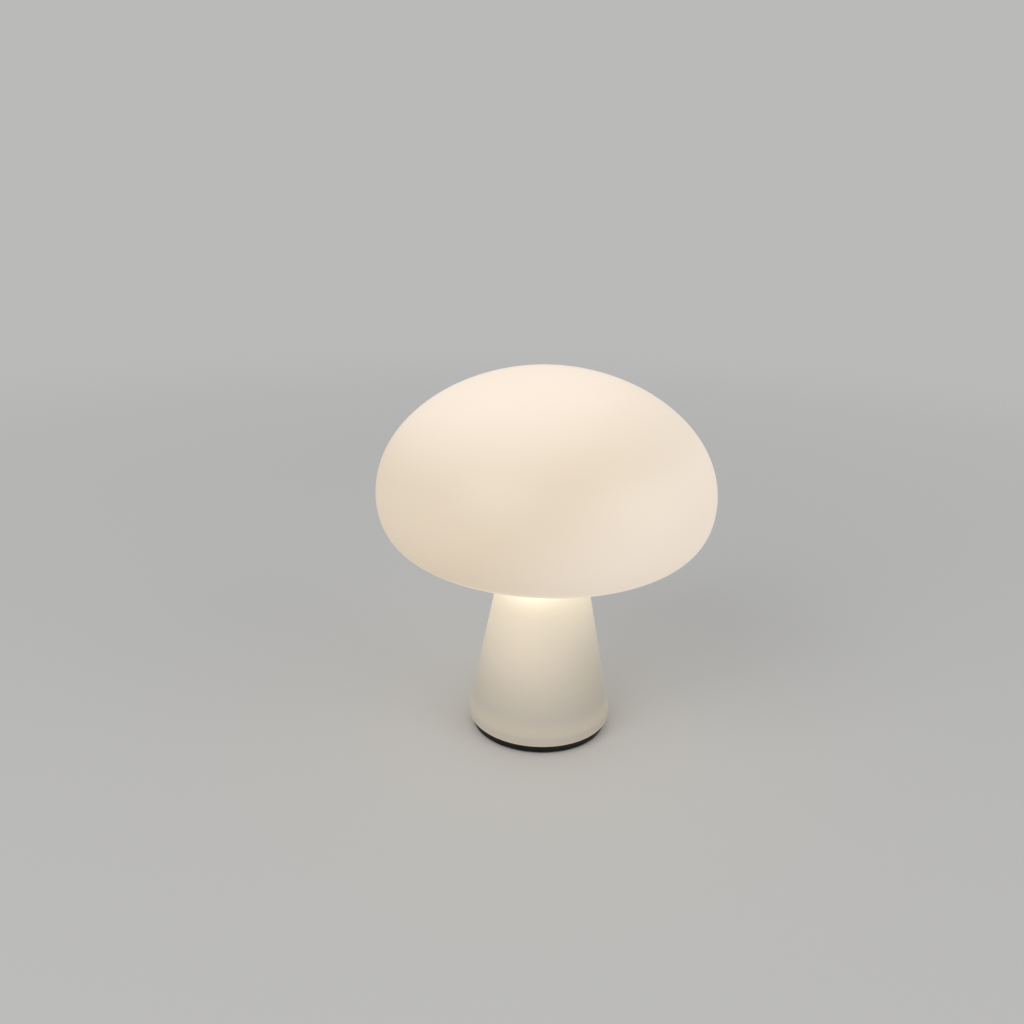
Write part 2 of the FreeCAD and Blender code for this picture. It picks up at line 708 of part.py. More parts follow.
def holder_sleeve():
    """Upper half of the lampholder, which traps the contact carrier under its shoulder."""
    shoulder = carrier_under - SPIGOT_HEIGHT
    top = bulb_foot + SLEEVE_ABOVE_CONTACT
    spigot = HOLDER_RADIUS - HOLDER_WALL + FIT_GAP
    return turned_outline([
        (HOLDER_RADIUS, shoulder, 0), (HOLDER_RADIUS, carrier_top, 0),
        (HOLDER_RIM_RADIUS, carrier_top + HOLDER_RIM_SLOPE, 0), (HOLDER_RIM_RADIUS, top, BEND_RADIUS / 2),
        (HOLDER_MOUTH_RADIUS, top, 0), (HOLDER_MOUTH_RADIUS, carrier_top, 0),
        (spigot, carrier_top, 0), (spigot, shoulder, 0),
    ])


def post_place(side):
    return Vector(-LIVE_POST_OFFSET, 0, 0) if side < 0 else Vector(NEUTRAL_POST_OFFSET, 0, 0)


def contact_carrier():
    body = ring(HOLDER_RADIUS - HOLDER_WALL, 0, carrier_under, carrier_top)
    cuts = []
    for side in (-1, 1):
        place = post_place(side)
        low = place + Vector(0, 0, carrier_under)
        cuts.append(rod(TERMINAL_POST_RADIUS + FIT_GAP, low, place + Vector(0, 0, carrier_top)))
    return solid(body.cut(cuts))


def screw_shell():
    """Brass socket pressed from sheet, so that the thread shows inside and outside."""
    inner = THREAD_RADIUS + THREAD_CLEARANCE
    top = carrier_top + SHELL_HEIGHT
    outside = helical_thread(inner + SHELL_SHEET, carrier_top, top)
    inside = helical_thread(inner, carrier_top, top)
    flange_top = carrier_top + SHELL_FLANGE_THICKNESS
    flange = ring(SHELL_FLANGE_OUTER, SHELL_FLANGE_INNER, carrier_top, flange_top)
    return solid(flange.fuse(outside.cut(inside)))


def centre_contact():
    """A bent spring strip on the carrier, whose crest meets the bulb."""
    low = carrier_top + SPRING_SHEET / 2
    crest = bulb_foot - RUNNING_GAP - SPRING_SHEET / 2
    run = SPRING_CREST + SPRING_SLOPE
    corners = [
        point(-SPRING_HALF_LENGTH, low), point(-run, low), point(-SPRING_CREST, crest),
        point(SPRING_CREST, crest), point(run, low), point(SPRING_HALF_LENGTH, low),
    ]
    bends = [0] + [SPRING_SHEET] * (len(corners) - 2) + [0]
    return bent_strip(corners, bends, SPRING_WIDTH, SPRING_SHEET)


def holder_terminal(side):
    """A brass block under the carrier, with a post up to its contact and a hole for the lead."""
    middle = side * TERMINAL_OFFSET
    low = carrier_under - TERMINAL_HEIGHT
    body = box(
        Vector(middle - TERMINAL_WIDTH / 2, -TERMINAL_DEPTH / 2, low),
        Vector(middle + TERMINAL_WIDTH / 2, TERMINAL_DEPTH / 2, carrier_under),
    )
    place = post_place(side)
    post = rod(TERMINAL_POST_RADIUS, place + Vector(0, 0, carrier_under), place + Vector(0, 0, carrier_top))
    lead_hole = rod(
        LEAD_RADIUS + 2 * SCREW_HOLE_GAP, Vector(middle, 0, low),
        Vector(middle, 0, low + WIRE_GRIP + RUNNING_GAP),
    )
    screw_height = carrier_under - TERMINAL_SCREW_DROP
    screw_hole = rod(
        TERMINAL_SCREW[0] + FIT_GAP, Vector(middle, 0, screw_height),
        Vector(middle + side * TERMINAL_WIDTH / 2, 0, screw_height),
    )
    return solid(body.fuse(post).cut([lead_hole, screw_hole]))


def holder_terminal_screws():
    height = carrier_under - TERMINAL_SCREW_DROP
    length = TERMINAL_WIDTH / 2 - LEAD_RADIUS - FIT_GAP
    screws = []
    for side in (-1, 1):
        seat = Vector(side * (TERMINAL_OFFSET + TERMINAL_WIDTH / 2), 0, height)
        screws.append(screw(TERMINAL_SCREW, length, seat, Vector(-side, 0, 0)))
    return screws


def lead(side):
    """An insulated lead from the terminal block, down and up into the tube, to its terminal."""
    x_block = side * INSERT_OFFSET
    x_tube = side * LEAD_SPACING
    x_holder = side * TERMINAL_OFFSET
    dip = insert_height - LEAD_DIP
    holder_low = carrier_under - TERMINAL_HEIGHT
    corners = [
        Vector(x_block, BLOCK_FRONT + INSERT_SCREW_INSET + INSERT_SCREW_RADIUS, insert_height),
        Vector(x_block, BLOCK_FRONT - LEAD_RADIUS, insert_height),
        Vector((x_block + 2 * x_tube) / 3, LEAD_TURN, dip),
        Vector(x_tube, 0, dip + LEAD_RISE),
        Vector(x_tube, 0, tube_top + HOLDER_STOP + LEAD_ABOVE_STOP),
        Vector(x_holder, 0, holder_low - HOLDER_STOP),
        Vector(x_holder, 0, holder_low + WIRE_GRIP),
    ]
    radii = [0]
    for i in range(1, len(corners) - 1):
        back = corners[i - 1] - corners[i]
        ahead = corners[i + 1] - corners[i]
        turn = math.pi - back.getAngle(ahead)
        radii.append(LEAD_BEND_SHARE * min(back.Length, ahead.Length) / math.tan(turn / 2))
    radii.append(0)
    path = Part.Wire(bent_edges(corners, radii, False))
    section = Part.Wire([Part.makeCircle(LEAD_RADIUS, corners[0], corners[1] - corners[0])])
    body = solid(path.makePipeShell([section], True, False))
    swept = math.pi * LEAD_RADIUS ** 2 * path.Length
    bends = ", ".join("%.1f" % radius for radius in radii[1:-1])
    print("lead length %.1f, bend radii %s" % (path.Length, bends))
    print("lead volume against its path: %.4f" % (body.Volume / swept))
    return body


def bulb_contact():
    top = bulb_foot + CONTACT_HEIGHT
    stem_top = top + CONTACT_STEM_LENGTH
    return turned_outline([
        (0, bulb_foot, 0), (CONTACT_RADIUS, bulb_foot, CONTACT_HEIGHT / 2), (CONTACT_RADIUS, top, 0),
        (CONTACT_STEM_RADIUS, top, 0), (CONTACT_STEM_RADIUS, stem_top, 0), (0, stem_top, 0),
    ])


def bulb_insulator():
    low = bulb_foot + CONTACT_HEIGHT
    shoulder = bulb_foot + CAP_THREAD_START
    top = shoulder + INSULATOR_SPIGOT
    hole = CONTACT_STEM_RADIUS + FIT_GAP
    hole_top = low + CONTACT_STEM_LENGTH + RUNNING_GAP
    shoulder_radius = THREAD_RADIUS - THREAD_DEPTH
    return turned_outline([
        (hole, low, 0), (CONTACT_RADIUS, low, 0), (shoulder_radius, shoulder - SCREW_HOLE_GAP, 0),
        (shoulder_radius, shoulder, 0), (CAP_BORE - FIT_GAP, shoulder, 0), (CAP_BORE - FIT_GAP, top, 0),
        (0, top, 0), (0, hole_top, 0), (hole, hole_top, 0),
    ])


def bulb_cap():
    """Screw cap: a thread rolled in sheet metal under a plain skirt."""
    low = bulb_foot + CAP_THREAD_START
    thread_top = low + CAP_THREAD_LENGTH
    top = thread_top + CAP_SKIRT_HEIGHT
    thread = helical_thread(THREAD_RADIUS, low, thread_top)
    skirt = Part.makeCylinder(CAP_SKIRT_RADIUS, CAP_SKIRT_HEIGHT, Vector(0, 0, thread_top))
    bore = Part.makeCylinder(CAP_BORE, top - low, Vector(0, 0, low))
    return solid(thread.fuse(skirt).cut(bore))


def collar_curve(shrink):
    """The collar's flare, from its foot to its rim, drawn in by the wall where it is the inside."""
    rise = collar_top - collar_foot
    foot = point(COLLAR_FOOT_RADIUS - shrink, collar_foot)
    rim = point(GLOBE_RIM_RADIUS - shrink, collar_top)
    above_foot = foot + point(0, COLLAR_RISE_SHARE * rise)
    below_rim = rim - point(COLLAR_FLARE_SHARE * rise, COLLAR_BELL_SHARE * rise)
    return bezier(foot, above_foot, below_rim, rim)


def collar_form(shrink):
    """The collar as a solid form, or its hollow where it is drawn in by the wall."""
    curve = collar_curve(shrink)
    foot, rim = [vertex.Point for vertex in curve.Vertexes]
    axis_foot = point(0, collar_foot)
    axis_top = point(0, collar_top)
    return turned([curve, line(rim, axis_top), line(axis_top, axis_foot), line(axis_foot, foot)])


def led_board_radius():
    """Radius of the board that drops on the ledge, just clear of the collar's inside there."""
    hollow = collar_form(COLLAR_WALL).slice(Vector(0, 0, 1), ledge_top)[0]
    return hollow.BoundBox.XLength / 2 - RUNNING_GAP


def bulb_collar():
    """The bulb's bell-shaped body, with a spigot in the screw cap and a ledge for the light source."""
    spigot_outer = CAP_BORE - FIT_GAP
    spigot_inner = spigot_outer - SPIGOT_SHEET
    ledge_inner = led_board_radius() - COLLAR_LEDGE
    ledge = ring(GLOBE_RIM_RADIUS, ledge_inner, ledge_top - COLLAR_LEDGE_THICKNESS, ledge_top)
    hollow = collar_form(COLLAR_WALL).cut(ledge)
    spigot = ring(spigot_outer, spigot_inner, collar_foot - COLLAR_SPIGOT, collar_foot + COLLAR_WALL)
    floor = ring(COLLAR_FOOT_RADIUS - COLLAR_WALL / 2, spigot_inner, collar_foot, collar_foot + COLLAR_WALL)
    return solid(collar_form(0).cut(hollow).fuse([spigot, floor]).removeSplitter())


def bulb_globe():
    low = point(GLOBE_RIM_RADIUS, collar_top)
    rim_angle = math.atan2(collar_top - globe_centre, GLOBE_RIM_RADIUS)
    inner_radius = BULB_RADIUS - GLOBE_WALL
    inner_rim = math.sqrt(inner_radius ** 2 - (globe_centre - collar_top) ** 2)
    inner_angle = math.atan2(collar_top - globe_centre, inner_rim)
    centre = point(0, globe_centre)
    top = globe_centre + BULB_RADIUS
    return turned([
        arc(centre, BULB_RADIUS, rim_angle, math.pi / 2), line(point(0, top), point(0, top - GLOBE_WALL)),
        arc(centre, inner_radius, math.pi / 2, inner_angle), line(point(inner_rim, collar_top), low),
    ])


def led_board():
    return ring(led_board_radius(), 0, ledge_top, ledge_top + LED_BOARD_THICKNESS)


def led_chips():
    low = ledge_top + LED_BOARD_THICKNESS
    near = LED_RING_RADIUS - LED_SIZE / 2
    chip = box(Vector(near, -LED_SIZE / 2, low), Vector(near + LED_SIZE, LED_SIZE / 2, low + LED_HEIGHT))
    return [around(chip, 360 * i / LED_COUNT) for i in range(LED_COUNT)]


def driver_board():
    """A board on edge whose tongue reaches down into the screw cap."""
    half = DRIVER_THICKNESS / 2
    step = collar_foot + COLLAR_WALL + COLLAR_SPIGOT
    tongue_foot = collar_foot - DRIVER_TONGUE_REACH
    tongue_side = DRIVER_TONGUE_WIDTH / 2
    tongue = box(Vector(-tongue_side, -half, tongue_foot), Vector(tongue_side, half, step))
    wide = box(Vector(-DRIVER_WIDTH / 2, -half, step), Vector(DRIVER_WIDTH / 2, half, ledge_top))
    return solid(tongue.fuse(wide).removeSplitter())


def driver_capacitor():
    low = collar_foot + CAPACITOR_HEIGHT
    place = Vector(0, -DRIVER_THICKNESS / 2 - CAPACITOR_RADIUS - FIT_GAP, low)
    return rod(CAPACITOR_RADIUS, place, place + Vector(0, 0, CAPACITOR_LENGTH))


def write(name, pieces):
    """Save one node: a single solid, or a group of separate ones."""
    shapes = pieces if isinstance(pieces, list) else [pieces]
    for shape in shapes:
        if shape.ShapeType != "Solid" or not shape.isValid():
            raise ValueError(name + " is not a sound solid")
    whole = shapes[0] if len(shapes) == 1 else Part.makeCompound(shapes)
    whole.exportStep("parts/" + name + ".step")


os.makedirs("parts", exist_ok=True)

write("glass_body", glass_body())
write("seat_ring", seat_ring())
write("base_shell", base_shell())
write("ballast", ballast())
write("bottom_cover", bottom_cover())
write("cover_screws", cover_screws())
write("foot_ring", foot_ring())
for side_name, clip_angle in CLIP_ANGLES.items():
    write("glass_clip_" + side_name, glass_clip(clip_angle))
write("clip_screws", clip_screws())
write("outlet_bush", outlet_bush())
write("cord_grip_body", cord_grip_body())
write("cord_grip_bridge", cord_grip_bridge())
write("cord_grip_screws", cord_grip_screws())
write("terminal_block", terminal_block())
write("terminal_inserts", terminal_inserts())
write("terminal_screws", terminal_screws())
write("terminal_block_screw", terminal_block_screw())
write("stem_tube", stem_tube())
write("tube_washer_below", plain_washer(deck_under - WASHER_THICKNESS))
write("tube_nut_below", hex_nut(deck_under - WASHER_THICKNESS - NUT_HEIGHT, deck_under - WASHER_THICKNESS))
write("tube_washer_above", toothed_washer(deck_top))
write("tube_nut_above", hex_nut(deck_top + WASHER_THICKNESS, deck_top + WASHER_THICKNESS + NUT_HEIGHT))
write("holder_lock_nut", hex_nut(holder_foot - NUT_HEIGHT, holder_foot))
write("holder_cap", holder_cap())
write("holder_grub_screw", holder_grub_screw())
write("holder_sleeve", holder_sleeve())
write("contact_carrier", contact_carrier())
write("screw_shell", screw_shell())
write("centre_contact", centre_contact())
write("terminal_live", holder_terminal(-1))
write("terminal_neutral", holder_terminal(1))
write("holder_terminal_screws", holder_terminal_screws())
write("lead_live", lead(-1))
write("lead_neutral", lead(1))
write("bulb_contact", bulb_contact())
write("bulb_insulator", bulb_insulator())
write("bulb_cap", bulb_cap())
write("bulb_collar", bulb_collar())
write("bulb_globe", bulb_globe())
write("led_board", led_board())
write("led_chips", led_chips())
write("driver_board", driver_board())
write("driver_capacitor", driver_capacitor())
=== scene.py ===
import bpy
import math
import numpy as np
from mathutils import Matrix, Vector


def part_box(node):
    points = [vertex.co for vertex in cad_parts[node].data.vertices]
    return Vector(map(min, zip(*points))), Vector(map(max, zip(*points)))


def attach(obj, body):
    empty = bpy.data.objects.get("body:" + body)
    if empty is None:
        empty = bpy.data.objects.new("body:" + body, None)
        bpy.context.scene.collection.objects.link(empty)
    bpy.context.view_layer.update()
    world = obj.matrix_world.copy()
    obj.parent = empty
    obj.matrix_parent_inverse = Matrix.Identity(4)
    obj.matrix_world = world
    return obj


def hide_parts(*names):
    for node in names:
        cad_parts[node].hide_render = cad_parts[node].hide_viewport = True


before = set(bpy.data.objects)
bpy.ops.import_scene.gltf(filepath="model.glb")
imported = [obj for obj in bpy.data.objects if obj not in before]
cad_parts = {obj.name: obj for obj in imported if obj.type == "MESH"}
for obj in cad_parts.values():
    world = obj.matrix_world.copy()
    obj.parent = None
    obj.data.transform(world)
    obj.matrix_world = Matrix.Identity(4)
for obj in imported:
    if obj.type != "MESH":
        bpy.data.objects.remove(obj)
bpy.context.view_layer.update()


# The view. The eye is 0.8 m from the lamp's foot and a little higher than its cap. It looks down by
# 19 degrees and leans by one, through a lens as long as its frame is wide.
EYE = Vector((0.0, -0.69306, 0.40680))
YAW, PITCH, ROLL = -0.0342, 0.3332, 0.0224
FRAME_WIDTH = 36.0
NEAREST_SEEN = 0.02


def stand(name, data):
    """Puts a new object in the scene."""
    thing = bpy.data.objects.new(name, data)
    bpy.context.scene.collection.objects.link(thing)
    return thing


ahead = Vector((math.sin(YAW) * math.cos(PITCH), math.cos(YAW) * math.cos(PITCH), -math.sin(PITCH)))
level_right = ahead.cross(Vector((0, 0, 1))).normalized()
level_up = level_right.cross(ahead)
right = math.cos(ROLL) * level_right + math.sin(ROLL) * level_up
up = math.cos(ROLL) * level_up - math.sin(ROLL) * level_right
lens = bpy.data.cameras.new("view")
lens.sensor_fit = "HORIZONTAL"
lens.sensor_width = FRAME_WIDTH
lens.lens = FRAME_WIDTH
lens.clip_start = NEAREST_SEEN
camera = stand("view", lens)
camera.matrix_world = Matrix.Translation(EYE) @ Matrix((right, up, -ahead)).transposed().to_4x4()
bpy.context.scene.camera = camera
bpy.context.scene.view_settings.view_transform = "Standard"


# The studio. A plain pale floor that runs into a pale distance, one wide soft lamp in front on the left,
# a weaker one on the right and an even sky, at a level where a colour shows about as it is written.
def named(sockets):
    """A node's sockets by their identifiers."""
    return {socket.identifier: socket for socket in sockets}


class Wire:
    """The output of a node. Sums written with it add Math nodes."""

    def __init__(self, finish, socket):
        self.finish = finish
        self.socket = socket

    def output(self, name):
        """Another output of the same node."""
        return Wire(self.finish, named(self.socket.node.outputs)[name])

    def __add__(self, other):
        return self.finish.work_out("ADD", self, other)

    def __sub__(self, other):
        return self.finish.work_out("SUBTRACT", self, other)

    def __rsub__(self, other):
        return self.finish.work_out("SUBTRACT", other, self)

    def __mul__(self, other):
        return self.finish.work_out("MULTIPLY", self, other)

    def __truediv__(self, other):
        return self.finish.work_out("DIVIDE", self, other)

    def __pow__(self, other):
        return self.finish.work_out("POWER", self, other)

    __radd__ = __add__
    __rmul__ = __mul__


class Finish:
    """A material or a sky with one shader, whose plain numbers and colours are set on the shader itself."""

    def __init__(self, name, shader="BsdfPrincipled", kind="Material", **plain):
        self.holder = (bpy.data.worlds if kind == "World" else bpy.data.materials).new(name)
        self.holder.use_nodes = True
        self.tree = self.holder.node_tree
        self.tree.nodes.clear()
        self.shader = self.node(shader, {key.replace("_", " "): value for key, value in plain.items()})
        self.node("Output" + kind, {"Surface": self.shader})

    def node(self, kind, values=None, **settings):
        """Any node: its settings come first, then the values or links of its sockets by identifier."""
        made = self.tree.nodes.new("ShaderNode" + kind)
        for key, value in settings.items():
            setattr(made, key, value)
        sockets = named(made.inputs)
        for key, value in (values or {}).items():
            if isinstance(value, Wire):
                self.tree.links.new(value.socket, sockets[key])
            elif isinstance(value, tuple) and sockets[key].type == "RGBA":
                sockets[key].default_value = (*value, 1.0)
            else:
                sockets[key].default_value = value
        return Wire(self, made.outputs[0]) if made.outputs else None

    def work_out(self, operation, first, second=0.0, third=0.0):
        """One Math node."""
        values = {"Value": first, "Value_001": second, "Value_002": third}
        return self.node("Math", values, operation=operation)

    def feed(self, key, value):
        """Leads a pattern to one of the shader's sockets."""
        self.tree.links.new(value.socket, named(self.shader.socket.node.inputs)[key])

    def fade(self, share, other):
        """Passes from the finish's own shader to another one as the share goes from 0 to 1."""
        seen_at = self.shader.socket.links[0].to_socket
        blended = self.node("MixShader", {"Fac": share, "Shader": self.shader, "Shader_001": other})
        self.tree.links.new(blended.socket, seen_at)

    def place(self, stretch=None):
        """A point's place on the lamp, in metres, stretched along the axes where a pattern has a run."""
        here = self.node("TexCoord").output("Object")
        return self.node("Mapping", {"Vector": here, "Scale": stretch}) if stretch else here

    def axes(self):
        """The three coordinates of a point's place."""
        x = self.node("SeparateXYZ", {"Vector": self.place()})
        return x, x.output("Y"), x.output("Z")

    def clouds(self, size, detail=2.0, stretch=None):
        """Soft random patches from 0 to 1 that are about size metres wide."""
        return self.node("TexNoise", {"Vector": self.place(stretch), "Scale": 1.0 / size, "Detail": detail})

    def step(self, value, start, end):
        """Runs smoothly from 0 to 1 while the value goes from start to end."""
        values = {"Value": value, "From Min": start, "From Max": end}
        return self.node("MapRange", values, interpolation_type="SMOOTHSTEP")

    def mix(self, share, first, second, **settings):
        """Passes from the first colour to the second as the share goes from 0 to 1."""
        values = {"Factor_Float": share, "A_Color": first, "B_Color": second}
        return self.node("Mix", values, data_type="RGBA", **settings).output("Result_Color")

    def add(self, share, first, second):
        """The first colour plus the share times the second."""
        return self.mix(share, first, second, blend_type="ADD", clamp_factor=False)

    def relief(self, height, depth, strength=1.0):
        """Raises the surface by depth metres times the height pattern."""
        self.feed("Normal", self.node("Bump", {"Height": height, "Distance": depth, "Strength": strength}))


def reach(x, y):
    """Distance from the origin: the square root of x squared plus y squared."""
    return (x ** 2 + y ** 2) ** 0.5


DISTANCE_COLOUR = (0.490, 0.489, 0.485)
FLOOR_COLOUR = (0.59, 0.59, 0.585)
FLOOR_HALF = 30.0
FLOOR_FADES = (0.45, 1.7)
SKY_LEVEL = 0.62
LAMP_AIM = Vector((0.0, 0.0, 0.14))

pale_floor = Finish("pale_floor", Base_Color=FLOOR_COLOUR, Roughness=0.75)
floor_x, floor_y = pale_floor.axes()[:2]
far_share = pale_floor.step(reach(floor_x, floor_y), *FLOOR_FADES)
pale_floor.fade(far_share, pale_floor.node("Emission", {"Color": DISTANCE_COLOUR}))
floor_mesh = bpy.data.meshes.new("floor")
floor_corners = [(x * FLOOR_HALF, y * FLOOR_HALF, 0.0) for x, y in ((-1, -1), (1, -1), (1, 1), (-1, 1))]
floor_mesh.from_pydata(floor_corners, [], [(0, 1, 2, 3)])
floor_mesh.materials.append(pale_floor.holder)
stand("floor", floor_mesh)

sky = Finish("sky", "Background", "World", Color=(1.0, 1.0, 1.0), Strength=SKY_LEVEL)
ray = sky.node("LightPath")
seen = sky.work_out("MAXIMUM", ray.output("Is Camera Ray"), ray.output("Is Glossy Ray"))
seen = sky.work_out("MAXIMUM", seen, ray.output("Is Transmission Ray"))
sky.fade(seen, sky.node("Background", {"Color": DISTANCE_COLOUR}))
bpy.context.scene.world = sky.holder


def soft_lamp(name, place, width, watts):
    """A square lamp of that width, turned towards the middle of the object."""
    light = bpy.data.lights.new(name, "AREA")
    light.size = width
    light.energy = watts
    turn = (LAMP_AIM - Vector(place)).to_track_quat("-Z", "Y").to_matrix().to_4x4()
    stand(name, light).matrix_world = Matrix.Translation(place) @ turn


soft_lamp("lamp_left", (-1.5, -1.9, 1.9), width=1.8, watts=22.0)
soft_lamp("lamp_right", (1.9, -1.2, 1.2), width=1.6, watts=8.0)


# Base shell and bottom cover. The shell is one pressing of 1.2 mm steel: a low skirt, a seat for the glass
# and a raised deck. Both are coated with black lacquer, which dries with a faint peel and gathers dust.
def wear(names, finish):
    """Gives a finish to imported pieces."""
    for name in names:
        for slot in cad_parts[name].material_slots:
            slot.material = finish.holder


lacquer = Finish("black_lacquer", IOR=1.42, Specular_IOR_Level=0.3)
dust = lacquer.clouds(0.018, detail=4.0)
peel = lacquer.clouds(0.0011, detail=1.0)
lacquer.feed("Base Color", lacquer.mix(dust, (0.004, 0.004, 0.005), (0.012, 0.012, 0.013)))
lacquer.feed("Roughness", 0.22 + 0.16 * lacquer.clouds(0.006))
lacquer.relief(peel, depth=0.00002, strength=0.5)
wear(["base_shell", "bottom_cover"], lacquer)


# Foot ring, seat ring and outlet bush: moulded black rubber, matt, with a dry bloom on it. The foot ring
# is glued under the cover, the seat ring lies under the glass, and the bush lines the outlet.
rubber = Finish("black_rubber", IOR=1.45)
bloom = rubber.step(rubber.clouds(0.009, detail=5.0), 0.42, 0.75)
rubber.feed("Base Color", rubber.mix(bloom, (0.011, 0.011, 0.011), (0.034, 0.033, 0.032)))
rubber.feed("Roughness", 0.72 + 0.2 * bloom)
rubber.relief(rubber.clouds(0.0006), depth=0.00005)
wear(["foot_ring", "seat_ring", "outlet_bush"], rubber)


# Ballast: a ring of grey iron, cast in sand and left as cast, that fills the base under the deck. Its skin
# has the grain of the sand, and brown spots where the damp has got at it.
iron = Finish("cast_iron", Metallic=0.55)
sand = iron.clouds(0.0009, detail=3.0)
rust = iron.step(iron.clouds(0.007, detail=5.0), 0.58, 0.72)
grey = iron.mix(sand, (0.075, 0.074, 0.073), (0.17, 0.165, 0.16))
iron.feed("Base Color", iron.mix(rust * 0.7, grey, (0.16, 0.075, 0.035)))
iron.feed("Roughness", 0.55 + 0.3 * sand)
iron.relief(sand, depth=0.0003)
wear(["ballast"], iron)


# Screws, washers, nuts: turned or pressed steel with a bright zinc coat, a little blue in one place and
# a little yellow in another, with fine marks from the tool.
ROUND_THE_PIECE = (1.0, 1.0, 9.0)


def plated(name, cool, warm, smoothest, patch=0.004):
    """Metal coat that passes between two tints in soft patches, with marks that run round the piece."""
    coat = Finish(name, Metallic=1.0)
    tint = coat.step(coat.clouds(patch, detail=3.0), 0.35, 0.65)
    marks = coat.clouds(0.0012, detail=4.0, stretch=ROUND_THE_PIECE)
    coat.feed("Base Color", coat.mix(tint, cool, warm))
    coat.feed("Roughness", smoothest + 0.2 * marks)
    coat.relief(marks, depth=0.000012)
    return coat


zinc = plated("zinc_plate", (0.60, 0.63, 0.67), (0.68, 0.66, 0.59), smoothest=0.22)
wear([
    "cover_screws", "clip_screws", "cord_grip_screws", "terminal_screws", "terminal_block_screw",
    "tube_washer_below", "tube_nut_below", "tube_washer_above", "tube_nut_above", "holder_lock_nut",
    "holder_grub_screw", "holder_terminal_screws",
], zinc)


# Cord clamp: a fixed body under the deck and a bridge that two screws pull up to it. Both are moulded in
# black nylon with a fine spark-eroded grain.
DOWN_THE_PIECE = (1.0, 1.0, 0.35)


def moulded(name, colour, paler, smoothest):
    """Moulded plastic: two near shades in flow marks that run up and down, and the grain of the mould."""
    plastic = Finish(name, IOR=1.48)
    flow = plastic.clouds(0.012, detail=3.0, stretch=DOWN_THE_PIECE)
    mould = plastic.clouds(0.0007, detail=1.0)
    plastic.feed("Base Color", plastic.mix(flow, colour, paler))
    plastic.feed("Roughness", smoothest + 0.14 * plastic.clouds(0.003))
    plastic.relief(mould, depth=0.00002)
    return plastic


black_nylon = moulded("black_nylon", (0.018, 0.018, 0.019), (0.034, 0.034, 0.035), smoothest=0.42)
wear(["cord_grip_body", "cord_grip_bridge"], black_nylon)


# Terminal block: natural nylon, milky and a little yellow, round two brass sleeves in which screws hold
# the wires. The contacts of the lampholder are of the same brass.
milky_nylon = moulded("milky_nylon", (0.72, 0.70, 0.61), (0.80, 0.78, 0.70), smoothest=0.36)
wear(["terminal_block"], milky_nylon)

brass = plated("brass", (0.72, 0.52, 0.23), (0.86, 0.67, 0.34), smoothest=0.2)
wear(["terminal_inserts", "terminal_live", "terminal_neutral", "centre_contact", "screw_shell"], brass)


# Tube: steel pipe with a fine thread rolled along its whole length, which carries the lampholder and the
# leads inside it. Nuts clamp it to the deck.
PIPE_RADIUS = 0.005
PIPE_BORE_RADIUS = 0.004
PIPE_SIDES = 32
THREAD_PITCH = 0.001
THREAD_DEPTH = 0.00055
ROWS_PER_PITCH = 5


def one_turn(sides):
    """Angles a = 2 pi j / sides of the points j of a row."""
    return np.linspace(0.0, 2.0 * np.pi, sides, endpoint=False)


def rows_round(radii, heights, angles):
    """Rows of points (r cos a, r sin a, z), one row for each line of radii and heights."""
    grid = np.broadcast_arrays(radii * np.cos(angles), radii * np.sin(angles), heights)
    return np.stack(grid, axis=-1).reshape(-1, 3)


def closed_skin(name, points, sides, poles=()):
    """Faces over rows of points that go round the axis. The rows close on the first one, or on two poles
    at the heights given."""
    rows = len(points) // sides
    i, j = np.meshgrid(np.arange(rows - 1 if poles else rows), np.arange(sides), indexing="ij")
    next_row = (i + 1) % rows
    next_j = (j + 1) % sides
    corners = [i * sides + j, next_row * sides + j, next_row * sides + next_j, i * sides + next_j]
    faces = np.stack(corners, axis=-1).reshape(-1, 4).tolist()
    if poles:
        points = np.vstack([points, [(0.0, 0.0, height) for height in poles]])
        around = np.arange(sides)
        onward = (around + 1) % sides
        start = (rows - 1) * sides
        first, final = np.full(sides, rows * sides), np.full(sides, rows * sides + 1)
        faces += np.stack([first, around, onward], axis=-1).tolist()
        faces += np.stack([start + onward, start + around, final], axis=-1).tolist()
    mesh = bpy.data.meshes.new(name)
    mesh.from_pydata(points.tolist(), [], faces)
    mesh.validate()
    mesh.shade_smooth()
    return stand(name, mesh)


def threaded_pipe(name, low, high):
    """Pipe with an outside thread: r = radius - depth * |2 frac(z / pitch - a / 2 pi) - 1|, a wave that
    climbs by one pitch in each turn and dies out at both ends."""
    rows = round((high - low) / THREAD_PITCH * ROWS_PER_PITCH)
    heights = np.linspace(high, low, rows)[:, None]
    angles = one_turn(PIPE_SIDES)
    wave = np.abs(2.0 * ((heights / THREAD_PITCH - angles / (2.0 * np.pi)) % 1.0) - 1.0)
    ends = np.clip(np.minimum(high - heights, heights - low) / THREAD_PITCH, 0.0, 1.0)
    outside = rows_round(PIPE_RADIUS - THREAD_DEPTH * (wave * ends + (1.0 - ends)), heights, angles)
    inside = rows_round(PIPE_BORE_RADIUS, np.array([[low], [high]]), angles)
    return closed_skin(name, np.vstack([outside, inside]), PIPE_SIDES)


def put_on(piece, finish, body, node):
    """Finishes a new piece, puts it on the body it moves with, and hides the imported piece it stands in
    for.
    """
    piece.data.materials.append(finish.holder)
    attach(piece, body)
    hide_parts(node)


tube_low, tube_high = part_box("stem_tube")
tube = threaded_pipe("threaded_tube", tube_low.z, tube_high.z)
put_on(tube, zinc, "lamp", "stem_tube")


# Lampholder: two halves moulded in white heat-proof plastic, screwed together round a disc of steatite
# that carries the contacts and the brass screw socket.
white_plastic = moulded("white_plastic", (0.74, 0.73, 0.70), (0.80, 0.79, 0.76), smoothest=0.34)
wear(["holder_cap", "holder_sleeve"], white_plastic)

